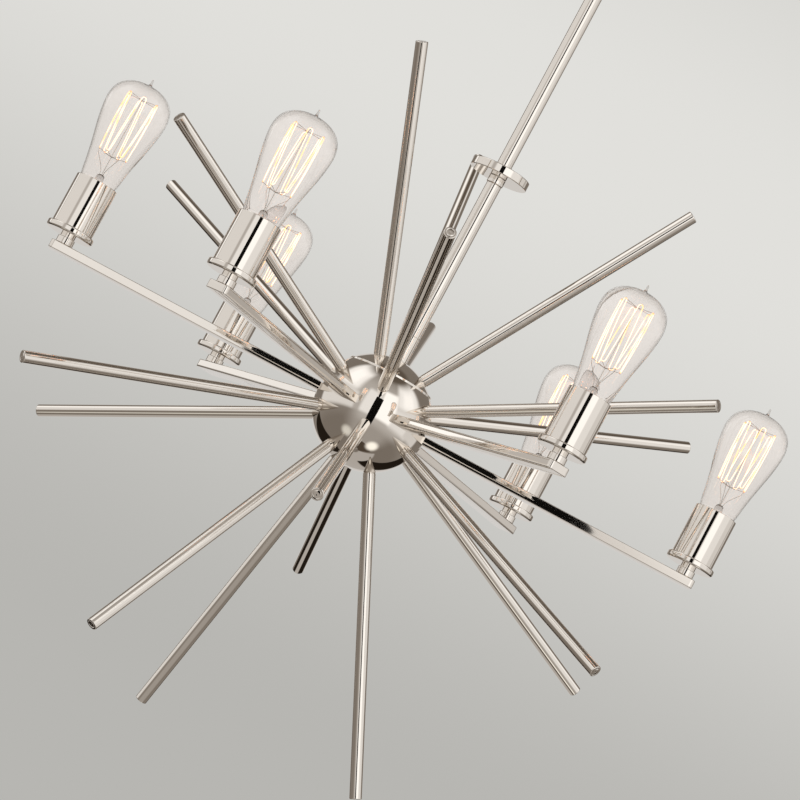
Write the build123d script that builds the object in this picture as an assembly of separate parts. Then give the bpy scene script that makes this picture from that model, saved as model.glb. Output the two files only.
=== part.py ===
"""Rod-hung sputnik chandelier with six level lamp arms and eighteen plain rods on a ball hub.

Frame: millimetres, +Z up. The origin is on the stem's axis in the plane of the ceiling, at the centre
of the mounting strap's slots, so the whole object hangs at negative Z. +X points along the first arm.
"""
from build123d import *
from math import cos, radians, sin, sqrt
import os

# ---- Driving dimensions ---------------------------------------------------------------------------

# Threaded tube that all joints of the stem and the lamps use, and the fits
PIPE_DIAMETER = 10.0
PIPE_BORE = 7.0
THREAD_GAP = 0.1        # between a nipple and what it screws into, on the radius
SLIP_GAP = 0.1          # between seated pieces that are pushed into each other, on the radius
RUN_GAP = 0.3           # between pieces that move on each other
PIN_GAP = 0.05          # round the swivel's pin, on the radius

# Ceiling strap
STRAP_LENGTH = 112.0
STRAP_WIDTH = 22.0
STRAP_THICKNESS = 2.5
BOX_SLOT_SPACING = 88.9
BOX_SLOT_LENGTH = 14.0
BOX_SLOT_WIDTH = 5.0
NIPPLE_RISE = 6.0       # nipple above the strap

# Canopy and its ring
CANOPY_DIAMETER = 127.0
CANOPY_DEPTH = 26.0
CANOPY_WALL = 1.5
CANOPY_CORNER = 6.0
RING_DIAMETER = 26.0
RING_HEIGHT = 8.0
RING_EDGE = 1.5

# Hang-straight swivel
HEAD_DIAMETER = 15.0
HEAD_HEIGHT = 3.0
STOP_WIDTH = 3.0        # lug on the nipple's head and matching lug in the yoke, which end the turn
YOKE_DIAMETER = 24.0
YOKE_ROOF = 4.0
YOKE_WALL = 2.5
YOKE_BODY = 12.0
PIN_DROP = 22.0         # pin axis below the yoke's top
PIN_DIAMETER = 6.0
EAR_RADIUS = 10.0
TONGUE_THICKNESS = 9.0
TONGUE_WIDTH = 13.0
EYE_RADIUS = 7.5
COLLAR_DROP = 16.0      # top of the tongue's collar below the pin axis
COLLAR_HEIGHT = 6.0
TONGUE_WIRE_HOLE = 5.0

# Stem
STEM_DIAMETER = 16.0
STEM_WALL = 1.5
STEM_TAP_DEPTH = 14.0   # length of the narrow tapped bore at each end
THREAD_ENTRY = 12.0     # how far a nipple goes into it
UPPER_STEM_LENGTH = 305.0
LOWER_STEM_LENGTH = 175.5
STEM_EDGE = 0.4
DISC_DIAMETER = 63.0
DISC_THICKNESS = 9.0
DISC_EDGE = 1.0
BOSS_DIAMETER = 17.6
BOSS_HEIGHT = 8.0
BASE_HEIGHT = 27.5      # stem base, measured at its outside above the hub

# Ball hub
HUB_RADIUS = 60.0
HUB_WALL = 5.0          # least wall, at the corners of the turned chamber
SEAM_HEIGHT = 40.0      # seam of the cap above the hub's centre
LIP_WIDTH = 1.2         # raised lip round the seam, beyond the ball
LIP_HEIGHT = 2.0
CHAMBER_WAIST = 18.0    # half height of the chamber's straight middle
CHAMBER_FLOOR = 52.0    # depth of its floor below the hub's centre
CAP_ROOF = 50.0         # height of the flat roof inside the cap
CAP_SKIRT_DEPTH = 3.0
CAP_SKIRT_WALL = 2.5

# Arm carrier inside the hub
CARRIER_RADIUS = 38.0
CARRIER_THICKNESS = 4.0
WIRE_HOLE_RADIUS = 3.5
WIRE_HOLE_CIRCLE = 15.0
WIRE_HOLE_COUNT = 3
NUT_WIDTH = 17.0        # across the flats
NUT_HEIGHT = 6.0
SCREW_DIAMETER = 4.0
SCREW_HEAD_DIAMETER = 7.5
SCREW_HEAD_HEIGHT = 2.6
SCREW_CIRCLE = 31.0

# Arms
ARM_COUNT = 6
ARM_WIDTH = 24.0
ARM_THICKNESS = 8.6
ARM_MIDDLE = -1.7       # middle plane of the arms, above the hub's centre
ARM_INNER_END = 21.5
LAMP_RADIUS = 351.5     # lamp axis from the stem's axis
ARM_OVERHANG = 12.3     # arm beyond the lamp axis
ARM_CORNER = 2.5
ARM_EDGE = 0.5
WIRE_WAY_WIDTH = 14.0
WIRE_WAY_HEIGHT = 3.9

# Rods: azimuth and elevation of each one in degrees, seen from the hub's centre
ROD_DIAMETER = 12.7
ROD_EDGE = 0.8
ROD_STUD_DIAMETER = 6.0
UPPER_ROD_REACH = 377.0
LOWER_ROD_REACH = 385.5
UPPER_ROD_ANGLES = [(29, 22.5), (88.5, 24), (148, 21), (211, 22.5), (268, 22), (327, 22)]
LOWER_ROD_ANGLES = [(28, -20.5), (89, -21.5), (148.5, -21), (207.5, -20), (269, -20.5), (329, -21.5)]
TOP_ROD_ANGLES = [(98, 57), (222.5, 62.5), (350, 59)]
BOTTOM_ROD_ANGLES = [(9, -64), (118, -67), (226.5, -58)]

# Lamp neck and cup, on the lamp axis
NECK_DIAMETER = 18.4
NECK_HEIGHT = 11.0
FLANGE_DIAMETER = 51.0
FLANGE_HEIGHT = 7.0
FLANGE_EDGE = 2.0
CUP_DIAMETER = 44.5
CUP_WALL = 1.2
CUP_HEIGHT = 60.6       # from under the flange to the rim
CUP_FLOOR = 2.5

# Lampholder
HOLDER_DIAMETER = 35.0
HOLDER_HEIGHT = 52.0
SHELL_DROP = 1.5        # screw shell below the body's top
HOLDER_SOCKET_DEPTH = 28.0
HOLDER_NIPPLE_DEPTH = 14.0
SCREW_SHELL_WALL = 0.5
SCREW_SHELL_HEIGHT = 21.0
CONTACT_DIAMETER = 9.0
CONTACT_HEIGHT = 2.0

# Bulb
BULB_CAP_DIAMETER = 26.0
BULB_CAP_HEIGHT = 27.5  # contact tip to the cap's upper edge
BULB_CAP_WALL = 0.5
BULB_CONE_HEIGHT = 4.5
BULB_TIP_HEIGHT = 1.5
BULB_TIP_DIAMETER = 9.0
CEMENT_GAP = 0.2        # between the glass neck and the cap
GLASS_WALL = 1.0
NECK_SEAT = 10.0        # how deep the glass neck stands in the cap
SEAL_HEIGHT = 2.5       # thickness of the seal between neck and mount
BULB_OUTLINE = [        # (radius, height above the cap) from the neck's flare to the dome's top
    (19.0, 5.5), (21.2, 15.0), (24.6, 35.0), (30.6, 62.0), (33.5, 80.5), (33.8, 88.0), (32.2, 98.0),
    (27.4, 106.5), (18.6, 112.6), (6.0, 115.5),
]
PIP_HEIGHT = 8.0        # sealed tip above the dome
PIP_RADIUS = 2.2
MOUNT_RADIUS = 4.5      # glass mount inside the bulb
MOUNT_TOP = 14.0
MOUNT_BORE = 3.0        # its radius

# Squirrel-cage filament, heights above the bulb's cap
CAGE_FOOT = (15.0, 37.0)        # (radius, height)
CAGE_HEAD = (17.2, 101.0)
CAGE_HOOKS = 6
FILAMENT_WIRE = 0.9
SUPPORT_WIRE = 0.6

# ---- Levels that follow from the sizes above ------------------------------------------------------

PIPE_RADIUS = PIPE_DIAMETER / 2
PIPE_HOLE = PIPE_RADIUS + THREAD_GAP

YOKE_TOP_Z = -CANOPY_DEPTH - RING_HEIGHT - RUN_GAP
PIN_Z = YOKE_TOP_Z - PIN_DROP
UPPER_STEM_TOP_Z = PIN_Z - COLLAR_DROP - COLLAR_HEIGHT
DISC_TOP_Z = UPPER_STEM_TOP_Z - UPPER_STEM_LENGTH
BOSS_FOOT_Z = DISC_TOP_Z - DISC_THICKNESS - BOSS_HEIGHT
BASE_TOP_Z = BOSS_FOOT_Z - LOWER_STEM_LENGTH
HUB_Z = BASE_TOP_Z - BASE_HEIGHT - sqrt(HUB_RADIUS**2 - (STEM_DIAMETER / 2) ** 2)

# Levels below are measured from the hub's centre
ARM_TOP = ARM_MIDDLE + ARM_THICKNESS / 2
ARM_BOTTOM = ARM_MIDDLE - ARM_THICKNESS / 2
ARM_SKIN = (ARM_THICKNESS - WIRE_WAY_HEIGHT) / 2
FLANGE_BOTTOM = ARM_TOP + NECK_HEIGHT
HOLDER_FOOT = FLANGE_BOTTOM + CUP_FLOOR
SOCKET_FLOOR = HOLDER_FOOT + HOLDER_HEIGHT - HOLDER_SOCKET_DEPTH
BULB_TIP = SOCKET_FLOOR + CONTACT_HEIGHT + RUN_GAP
CAP_TOP = BULB_TIP + BULB_CAP_HEIGHT
SCREW_SHELL_RADIUS = BULB_CAP_DIAMETER / 2 + RUN_GAP

HUB = Pos(0, 0, HUB_Z)
NODES = {}


# ---- Helpers --------------------------------------------------------------------------------------

def turned(*lines):
    """Solid turned about Z from a closed outline, drawn flat with X as radius and Y as height."""
    edges = [edge for line in lines for edge in line.edges()]
    return revolve(Plane.XZ * make_face(edges), Axis.Z)


def lathe(*points):
    """Solid turned about Z from a closed straight outline of (radius, height) points."""
    return turned(Polyline(*points, points[0]))


def tube(outer, inner, bottom, top):
    """Upright tube given by its two radii and its two levels."""
    return lathe((inner, bottom), (outer, bottom), (outer, top), (inner, top))


def cylinder(radius, bottom, top):
    """Upright cylinder on the Z axis between two levels."""
    return lathe((0, bottom), (radius, bottom), (radius, top), (0, top))


def aim(azimuth, elevation):
    """Turn that points +Z from the hub's centre towards an azimuth and an elevation."""
    return Rot(0, 0, azimuth) * Rot(0, 90 - elevation, 0)


def round_hub(count, shape, first=0.0):
    """Copies of a shape spaced evenly round the Z axis."""
    return [Rot(0, 0, first + 360 * k / count) * shape for k in range(count)]


def bar(start, end, width):
    """Square wire from one point to another."""
    path = Line(start, end)
    section = Plane(path @ 0, z_dir=path % 0) * Rectangle(width, width)
    return extrude(section, path.length)


# ---- Ceiling fixing -------------------------------------------------------------------------------

def mounting_strap():
    strap = SlotOverall(STRAP_LENGTH, STRAP_WIDTH) - Circle(PIPE_HOLE)
    slot = SlotOverall(BOX_SLOT_LENGTH, BOX_SLOT_WIDTH)
    for side in (-1, 1):
        strap -= Pos(side * BOX_SLOT_SPACING / 2, 0) * slot
    return extrude(strap, -STRAP_THICKNESS)


def ceiling_nipple():
    """Threaded tube whose head carries the swivel, with the lug that ends the swivel's turn."""
    seat = YOKE_TOP_Z - YOKE_ROOF - RUN_GAP
    foot = seat - HEAD_HEIGHT
    bore = PIPE_BORE / 2
    body = lathe(
        (bore, foot), (HEAD_DIAMETER / 2, foot), (HEAD_DIAMETER / 2, seat), (PIPE_RADIUS, seat),
        (PIPE_RADIUS, NIPPLE_RISE), (bore, NIPPLE_RISE),
    )
    reach = YOKE_DIAMETER / 2 - YOKE_WALL - RUN_GAP
    lug = Pos(-reach / 2, 0, seat - HEAD_HEIGHT / 2) * Box(reach, STOP_WIDTH, HEAD_HEIGHT)
    return body + (lug - cylinder(PIPE_RADIUS, foot, seat))


def canopy():
    """Spun pan that hides the ceiling box, open towards the ceiling."""
    outer = CANOPY_DIAMETER / 2
    inner = outer - CANOPY_WALL
    floor = -CANOPY_DEPTH
    bend = floor + CANOPY_CORNER
    flat = outer - CANOPY_CORNER
    return turned(
        Line((PIPE_HOLE, floor), (flat, floor)),
        CenterArc((flat, bend), CANOPY_CORNER, -90, 90),
        Polyline(
            (outer, bend), (outer, 0), (inner, 0), (inner, bend), (flat, floor + CANOPY_WALL),
            (PIPE_HOLE, floor + CANOPY_WALL), (PIPE_HOLE, floor),
        ),
    )


def canopy_ring():
    top = -CANOPY_DEPTH
    foot = top - RING_HEIGHT
    outer = RING_DIAMETER / 2
    return lathe(
        (PIPE_HOLE, foot), (outer - RING_EDGE, foot), (outer, foot + RING_EDGE), (outer, top - RING_EDGE),
        (outer - RING_EDGE, top), (PIPE_HOLE, top),
    )


# ---- Hang-straight swivel -------------------------------------------------------------------------

def swivel_yoke():
    """Turned body with a slot across its lower half, which leaves two ears for the pin."""
    outer = YOKE_DIAMETER / 2
    hollow = outer - YOKE_WALL
    roof = YOKE_TOP_Z - YOKE_ROOF
    body_foot = YOKE_TOP_Z - YOKE_BODY
    body = tube(outer, PIPE_HOLE, body_foot, YOKE_TOP_Z) - cylinder(hollow, body_foot, roof)
    length = PIN_DROP - YOKE_BODY
    ears = Pos(0, 0, body_foot - length / 2) * Box(2 * EAR_RADIUS, YOKE_DIAMETER, length)
    ears += Pos(0, 0, PIN_Z) * Rot(90, 0, 0) * Cylinder(EAR_RADIUS, YOKE_DIAMETER)
    ears &= cylinder(outer, PIN_Z - EAR_RADIUS, body_foot)
    slot = TONGUE_THICKNESS + 2 * RUN_GAP
    ears -= Pos(0, 0, PIN_Z) * Box(YOKE_DIAMETER, slot, 2 * PIN_DROP)
    lug_foot = roof - HEAD_HEIGHT - RUN_GAP
    lug = Pos(outer / 2, 0, (roof + lug_foot) / 2) * Box(outer, STOP_WIDTH, roof - lug_foot)
    lug &= tube(hollow + YOKE_WALL / 2, HEAD_DIAMETER / 2 + RUN_GAP, lug_foot, roof)
    hole = Pos(0, 0, PIN_Z) * Rot(90, 0, 0) * Cylinder(PIN_DIAMETER / 2 + PIN_GAP, 2 * YOKE_DIAMETER)
    return body + ears + lug - hole


def swivel_pin():
    pin = Cylinder(PIN_DIAMETER / 2, YOKE_DIAMETER)
    pin = chamfer(pin.edges(), STEM_EDGE)
    return Pos(0, 0, PIN_Z) * Rot(90, 0, 0) * pin


def swivel_tongue():
    """Eye on the pin, with a collar and a threaded shank that carry the stem, and its wire hole."""
    collar_top = PIN_Z - COLLAR_DROP
    shank_foot = UPPER_STEM_TOP_Z - THREAD_ENTRY
    across = Rot(90, 0, 0)
    eye = Pos(0, 0, PIN_Z) * across * Cylinder(EYE_RADIUS, TONGUE_THICKNESS)
    blade = Pos(0, 0, PIN_Z - COLLAR_DROP / 2) * Box(TONGUE_WIDTH, TONGUE_THICKNESS, COLLAR_DROP)
    shank = lathe(
        (0, shank_foot), (PIPE_RADIUS, shank_foot), (PIPE_RADIUS, UPPER_STEM_TOP_Z),
        (STEM_DIAMETER / 2, UPPER_STEM_TOP_Z), (STEM_DIAMETER / 2, collar_top), (0, collar_top),
    )
    wire = TONGUE_WIRE_HOLE / 2
    side_hole_z = collar_top + wire
    wire_hole = cylinder(wire, shank_foot, side_hole_z)
    wire_hole += Pos(0, 0, side_hole_z) * Rot(0, 90, 0) * Cylinder(wire, STEM_DIAMETER)
    pin_hole = Pos(0, 0, PIN_Z) * across * Cylinder(PIN_DIAMETER / 2 + PIN_GAP, YOKE_DIAMETER)
    return eye + blade + shank - wire_hole - pin_hole


# ---- Stem -----------------------------------------------------------------------------------------

def stem_tube(bottom, top):
    """Tube with a narrow tapped bore at both ends."""
    outer = STEM_DIAMETER / 2
    wide = outer - STEM_WALL
    low = bottom + STEM_TAP_DEPTH
    high = top - STEM_TAP_DEPTH
    return lathe(
        (PIPE_HOLE, bottom), (outer - STEM_EDGE, bottom), (outer, bottom + STEM_EDGE),
        (outer, top - STEM_EDGE), (outer - STEM_EDGE, top), (PIPE_HOLE, top),
        (PIPE_HOLE, high), (wide, high), (wide, low), (PIPE_HOLE, low),
    )


def disc_nipple():
    return tube(PIPE_RADIUS, PIPE_BORE / 2, BOSS_FOOT_Z - THREAD_ENTRY, DISC_TOP_Z + THREAD_ENTRY)


def stem_disc():
    """Thick disc with a plain rim and, under it, its collar boss."""
    rim = DISC_DIAMETER / 2
    boss = BOSS_DIAMETER / 2
    under = DISC_TOP_Z - DISC_THICKNESS
    return lathe(
        (PIPE_HOLE, BOSS_FOOT_Z), (boss - DISC_EDGE, BOSS_FOOT_Z), (boss, BOSS_FOOT_Z + DISC_EDGE),
        (boss, under), (rim - DISC_EDGE, under), (rim, under + DISC_EDGE),
        (rim, DISC_TOP_Z - DISC_EDGE), (rim - DISC_EDGE, DISC_TOP_Z), (PIPE_HOLE, DISC_TOP_Z),
    )


def stem_base():
    """Sleeve between the stem and the hub, its foot cut to the ball."""
    sleeve = tube(STEM_DIAMETER / 2, PIPE_HOLE, HUB_Z, BASE_TOP_Z - STEM_EDGE)
    sleeve += tube(STEM_DIAMETER / 2 - STEM_EDGE, PIPE_HOLE, BASE_TOP_Z - STEM_EDGE, BASE_TOP_Z)
    return sleeve - HUB * Sphere(HUB_RADIUS)


def hub_tie():
    """Long threaded tube that pulls the carrier, the hub and the stem together."""
    foot = HUB_Z + ARM_BOTTOM - CARRIER_THICKNESS - NUT_HEIGHT - THREAD_GAP
    return tube(PIPE_RADIUS, PIPE_BORE / 2, foot, BASE_TOP_Z + THREAD_ENTRY)


# ---- Hub, all modelled about its centre -----------------------------------------------------------

def stud_holes(directions):
    """Tapped holes for the rods' studs."""
    hole = cylinder(ROD_STUD_DIAMETER / 2 + THREAD_GAP, HUB_RADIUS / 2, HUB_RADIUS + HUB_WALL)
    return [aim(*direction) * hole for direction in directions]


def ball(bottom, top):
    """Slice of the hub's ball between two levels."""
    return Sphere(HUB_RADIUS) & cylinder(HUB_RADIUS + HUB_WALL, bottom, top)


def ball_width(level, inset=0.0):
    """Radius at a level of the ball, or of a smaller one that lies inset from it."""
    return sqrt((HUB_RADIUS - inset) ** 2 - level**2)


def hub_shell():
    """Ball open at the top, with a lip round its rim, a turned chamber, arm slots and tapped holes."""
    mouth = ball_width(SEAM_HEIGHT, HUB_WALL)
    waist = ball_width(CHAMBER_WAIST, HUB_WALL)
    floor = ball_width(CHAMBER_FLOOR, HUB_WALL)
    shell = ball(-2 * HUB_RADIUS, SEAM_HEIGHT)
    shell += cylinder(ball_width(SEAM_HEIGHT) + LIP_WIDTH, SEAM_HEIGHT - LIP_HEIGHT, SEAM_HEIGHT)
    shell -= lathe(
        (0, -CHAMBER_FLOOR), (floor, -CHAMBER_FLOOR), (mouth, -SEAM_HEIGHT), (waist, -CHAMBER_WAIST),
        (waist, CHAMBER_WAIST), (mouth, SEAM_HEIGHT), (0, SEAM_HEIGHT),
    )
    slot = Plane.YZ * Rectangle(ARM_WIDTH + 2 * SLIP_GAP, ARM_THICKNESS + 2 * SLIP_GAP)
    slot = Pos(0, 0, ARM_MIDDLE) * extrude(slot, 2 * HUB_RADIUS)
    holes = stud_holes(UPPER_ROD_ANGLES + LOWER_ROD_ANGLES + BOTTOM_ROD_ANGLES)
    return shell - round_hub(ARM_COUNT, slot) - holes


def hub_cap():
    """Top of the ball, with a skirt that centres it in the shell."""
    skirt = ball_width(SEAM_HEIGHT, HUB_WALL) - SLIP_GAP
    foot = SEAM_HEIGHT - CAP_SKIRT_DEPTH
    roof = ball_width(CAP_ROOF, HUB_WALL)
    cap = ball(SEAM_HEIGHT, 2 * HUB_RADIUS) + cylinder(skirt, foot, SEAM_HEIGHT)
    cap -= lathe((0, foot), (skirt - CAP_SKIRT_WALL, foot), (roof, CAP_ROOF), (0, CAP_ROOF))
    return cap - cylinder(PIPE_HOLE, 0, 2 * HUB_RADIUS) - stud_holes(TOP_ROD_ANGLES)


def arm_carrier():
    """Round plate under the arms' inner ends, with holes for the tie, the screws and the wires."""
    plate = Circle(CARRIER_RADIUS) - Circle(PIPE_HOLE)
    plate -= round_hub(ARM_COUNT, Pos(SCREW_CIRCLE, 0) * Circle(SCREW_DIAMETER / 2 + SLIP_GAP))
    wire_hole = Pos(WIRE_HOLE_CIRCLE, 0) * Circle(WIRE_HOLE_RADIUS)
    plate -= round_hub(WIRE_HOLE_COUNT, wire_hole, 180 / ARM_COUNT)
    return Pos(0, 0, ARM_BOTTOM) * extrude(plate, -CARRIER_THICKNESS)


def hub_nut():
    nut = RegularPolygon(NUT_WIDTH / 2, 6, major_radius=False) - Circle(PIPE_HOLE)
    return Pos(0, 0, ARM_BOTTOM - CARRIER_THICKNESS) * extrude(nut, -NUT_HEIGHT)


def arm_screw():
    """Screw up through the carrier into the arm's lower wall."""
    seat = ARM_BOTTOM - CARRIER_THICKNESS
    shank = SCREW_DIAMETER / 2
    head = SCREW_HEAD_DIAMETER / 2
    foot = seat - SCREW_HEAD_HEIGHT
    end = ARM_BOTTOM + ARM_SKIN
    screw = lathe((0, foot), (head, foot), (head, seat), (shank, seat), (shank, end), (0, end))
    return Pos(SCREW_CIRCLE, 0, 0) * screw


def rod(reach):
    """Plain rod that stands on the ball by a threaded stud, pointing up."""
    radius = ROD_DIAMETER / 2
    shaft = lathe(
        (0, HUB_RADIUS - HUB_WALL / 2), (radius, HUB_RADIUS - HUB_WALL / 2), (radius, reach - ROD_EDGE),
        (radius - ROD_EDGE, reach), (0, reach),
    )
    stud = cylinder(ROD_STUD_DIAMETER / 2, HUB_RADIUS - HUB_WALL, HUB_RADIUS + ROD_EDGE)
    return shaft - Sphere(HUB_RADIUS) + stud


def rods(reach, directions):
    one = rod(reach)
    return [aim(*direction) * one for direction in directions]


# ---- Arm and lamp, modelled on the first arm or on the lamp axis, about the hub's level ------------

def arm():
    """Flat bar with a wire way from its inner end to the tapped hole under the lamp."""
    outer_end = LAMP_RADIUS + ARM_OVERHANG
    length = outer_end - ARM_INNER_END
    plan = Pos(ARM_INNER_END + length / 2, 0) * Rectangle(length, ARM_WIDTH)
    plan = fillet(plan.vertices().group_by(Axis.X)[-1], ARM_CORNER)
    blank = Pos(0, 0, ARM_BOTTOM) * extrude(plan, ARM_THICKNESS)
    rims = blank.edges().group_by(Axis.Z)
    blank = chamfer(rims[0] + rims[-1], ARM_EDGE)
    way_end = LAMP_RADIUS + PIPE_RADIUS
    way = extrude(Plane.YZ * SlotOverall(WIRE_WAY_WIDTH, WIRE_WAY_HEIGHT), way_end)
    tapped = Pos(LAMP_RADIUS, 0, 0) * cylinder(PIPE_HOLE, ARM_MIDDLE, 2 * ARM_THICKNESS)
    screw_hole = cylinder(SCREW_DIAMETER / 2 + THREAD_GAP, 2 * ARM_BOTTOM, ARM_MIDDLE)
    return blank - Pos(0, 0, ARM_MIDDLE) * way - tapped - Pos(SCREW_CIRCLE, 0, 0) * screw_hole


def neck_spacer():
    return tube(NECK_DIAMETER / 2, PIPE_RADIUS + SLIP_GAP, ARM_TOP, FLANGE_BOTTOM)


def lamp_nipple():
    top = HOLDER_FOOT + HOLDER_NIPPLE_DEPTH - THREAD_GAP
    return tube(PIPE_RADIUS, PIPE_BORE / 2, ARM_TOP - ARM_SKIN, top)


def cup():
    """Turned cup with a flange at its foot."""
    flange = FLANGE_DIAMETER / 2
    outer = CUP_DIAMETER / 2
    inner = outer - CUP_WALL
    hole = PIPE_RADIUS + SLIP_GAP
    top = FLANGE_BOTTOM + CUP_HEIGHT
    ledge = FLANGE_BOTTOM + FLANGE_HEIGHT
    return lathe(
        (hole, FLANGE_BOTTOM), (flange - FLANGE_EDGE, FLANGE_BOTTOM), (flange, FLANGE_BOTTOM + FLANGE_EDGE),
        (flange, ledge), (outer, ledge), (outer, top), (inner, top), (inner, HOLDER_FOOT), (hole, HOLDER_FOOT),
    )


def lampholder():
    """Moulded body with its screw shell and its centre contact."""
    outer = HOLDER_DIAMETER / 2
    top = HOLDER_FOOT + HOLDER_HEIGHT
    socket = SCREW_SHELL_RADIUS + SCREW_SHELL_WALL
    nipple_top = HOLDER_FOOT + HOLDER_NIPPLE_DEPTH
    body = lathe(
        (PIPE_HOLE, HOLDER_FOOT), (outer, HOLDER_FOOT), (outer, top), (socket, top),
        (socket, SOCKET_FLOOR), (0, SOCKET_FLOOR), (0, nipple_top), (PIPE_HOLE, nipple_top),
    )
    shell_top = top - SHELL_DROP
    shell = tube(socket, SCREW_SHELL_RADIUS, shell_top - SCREW_SHELL_HEIGHT, shell_top)
    contact = cylinder(CONTACT_DIAMETER / 2, SOCKET_FLOOR, SOCKET_FLOOR + CONTACT_HEIGHT)
    return [body, shell, contact]


# ---- Bulb -----------------------------------------------------------------------------------------

def bulb_glass():
    """Bulb blown in one with its inner glass mount, sealed, with the exhaust tip on top."""
    neck = BULB_CAP_DIAMETER / 2 - BULB_CAP_WALL - CEMENT_GAP
    foot = CAP_TOP - NECK_SEAT
    seal = foot + SEAL_HEIGHT
    mount_top = CAP_TOP + MOUNT_TOP
    press = mount_top - NECK_SEAT / 2
    wall = [(radius, CAP_TOP + height) for radius, height in BULB_OUTLINE]
    dome = wall[-1][1]
    inside = [(radius - GLASS_WALL, height) for radius, height in wall[:-1]]
    return lathe(
        (0, press), (MOUNT_BORE, press), (MOUNT_BORE, CAP_TOP), (neck - GLASS_WALL, foot), (neck, foot),
        (neck, CAP_TOP), *wall, (PIP_RADIUS, dome + PIP_HEIGHT / 2), (0, dome + PIP_HEIGHT),
        (0, dome - GLASS_WALL), *reversed(inside), (neck - GLASS_WALL, CAP_TOP), (neck - GLASS_WALL, seal),
        (MOUNT_RADIUS, CAP_TOP), (MOUNT_RADIUS, mount_top), (0, mount_top),
    )


def bulb_cap():
    """Screw cap: thin shell, insulating cone and centre contact."""
    outer = BULB_CAP_DIAMETER / 2
    inner = outer - BULB_CAP_WALL
    tip = BULB_TIP_DIAMETER / 2
    cone_foot = BULB_TIP + BULB_TIP_HEIGHT
    shell_foot = cone_foot + BULB_CONE_HEIGHT
    return lathe(
        (0, BULB_TIP), (tip - STEM_EDGE, BULB_TIP), (tip, cone_foot), (outer, shell_foot),
        (outer, CAP_TOP), (inner, CAP_TOP), (inner, shell_foot + BULB_CAP_WALL),
        (0, shell_foot + BULB_CAP_WALL),
    )


def filament():
    """Squirrel cage: strands that zigzag between foot and head hooks, and their support wires."""
    def hook(place, step):
        radius, height = place
        angle = radians(360 * step / CAGE_HOOKS)
        return (radius * cos(angle), radius * sin(angle), CAP_TOP + height)

    root = CAP_TOP + MOUNT_TOP
    crown = CAP_TOP + CAGE_HEAD[1]
    wires = [bar((0, 0, root), (0, 0, crown + SUPPORT_WIRE / 2), SUPPORT_WIRE)]
    for k in range(CAGE_HOOKS):
        foot = hook(CAGE_FOOT, k)
        head = hook(CAGE_HEAD, k + 0.5)
        wires.append(bar(foot, head, FILAMENT_WIRE))
        wires.append(bar(head, hook(CAGE_FOOT, k + 1), FILAMENT_WIRE))
        wires.append(bar((0, 0, root + SUPPORT_WIRE), foot, SUPPORT_WIRE))
        wires.append(bar((0, 0, crown), head, SUPPORT_WIRE))
    return wires[0].fuse(*wires[1:])


# ---- Assembly -------------------------------------------------------------------------------------

def add(name, shapes, place=Pos(0, 0, 0)):
    """Keep one named piece, or one group of like pieces, moved to its place."""
    if not isinstance(shapes, list):
        shapes = [shapes]
    solids = [place * solid for shape in shapes for solid in shape.solids()]
    NODES[name] = solids[0] if len(solids) == 1 else Compound(children=solids)


def lamp_places():
    """Place of each lamp's axis, at the hub's level."""
    return [HUB * Rot(0, 0, 360 * k / ARM_COUNT) * Pos(LAMP_RADIUS, 0, 0) for k in range(ARM_COUNT)]


add("mounting_strap", mounting_strap())
add("ceiling_nipple", ceiling_nipple())
add("canopy", canopy())
add("canopy_ring", canopy_ring())
add("swivel_yoke", swivel_yoke())
add("swivel_pin", swivel_pin())
add("swivel_tongue", swivel_tongue())
add("upper_stem", stem_tube(DISC_TOP_Z, UPPER_STEM_TOP_Z))
add("disc_nipple", disc_nipple())
add("stem_disc", stem_disc())
add("lower_stem", stem_tube(BASE_TOP_Z, BOSS_FOOT_Z))
add("stem_base", stem_base())
add("hub_tie", hub_tie())
add("hub_cap", hub_cap(), HUB)
add("hub_shell", hub_shell(), HUB)
add("arm_carrier", arm_carrier(), HUB)
add("hub_nut", hub_nut(), HUB)
add("arm_screws", round_hub(ARM_COUNT, arm_screw()), HUB)
add("upper_rods", rods(UPPER_ROD_REACH, UPPER_ROD_ANGLES), HUB)
add("lower_rods", rods(LOWER_ROD_REACH, LOWER_ROD_ANGLES), HUB)
add("top_rods", rods(UPPER_ROD_REACH, TOP_ROD_ANGLES), HUB)
add("bottom_rods", rods(LOWER_ROD_REACH, BOTTOM_ROD_ANGLES), HUB)
add("lamp_nipples", [place * lamp_nipple() for place in lamp_places()])
add("neck_spacers", [place * neck_spacer() for place in lamp_places()])

one_arm = arm()
lamp_pieces = {
    "cup": cup(),
    "lampholder": lampholder(),
    "bulb_glass": bulb_glass(),
    "bulb_cap": bulb_cap(),
    "filament": filament(),
}
for k, place in enumerate(lamp_places(), start=1):
    add(f"arm_{k}", one_arm, HUB * Rot(0, 0, 360 * (k - 1) / ARM_COUNT))
    for piece, shape in lamp_pieces.items():
        add(f"{piece}_{k}", shape, place)

os.makedirs("parts", exist_ok=True)
for name, shape in NODES.items():
    export_step(shape, f"parts/{name}.step")
print("hub centre at z =", round(HUB_Z, 3), "nodes:", len(NODES))
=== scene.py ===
"""Looks of the rod-hung sputnik chandelier: polished nickel, clear bulbs with cage filaments, pale studio.

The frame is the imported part's: metres, +Z up, origin on the stem's axis in the ceiling's plane. Sizes of
pieces are millimetres, and heights on the hub, the arms and the lamps count from the hub's centre.
"""
from math import asin, cos, degrees, pi, radians, sin, sqrt

import bpy
from mathutils import Matrix, Vector


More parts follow.
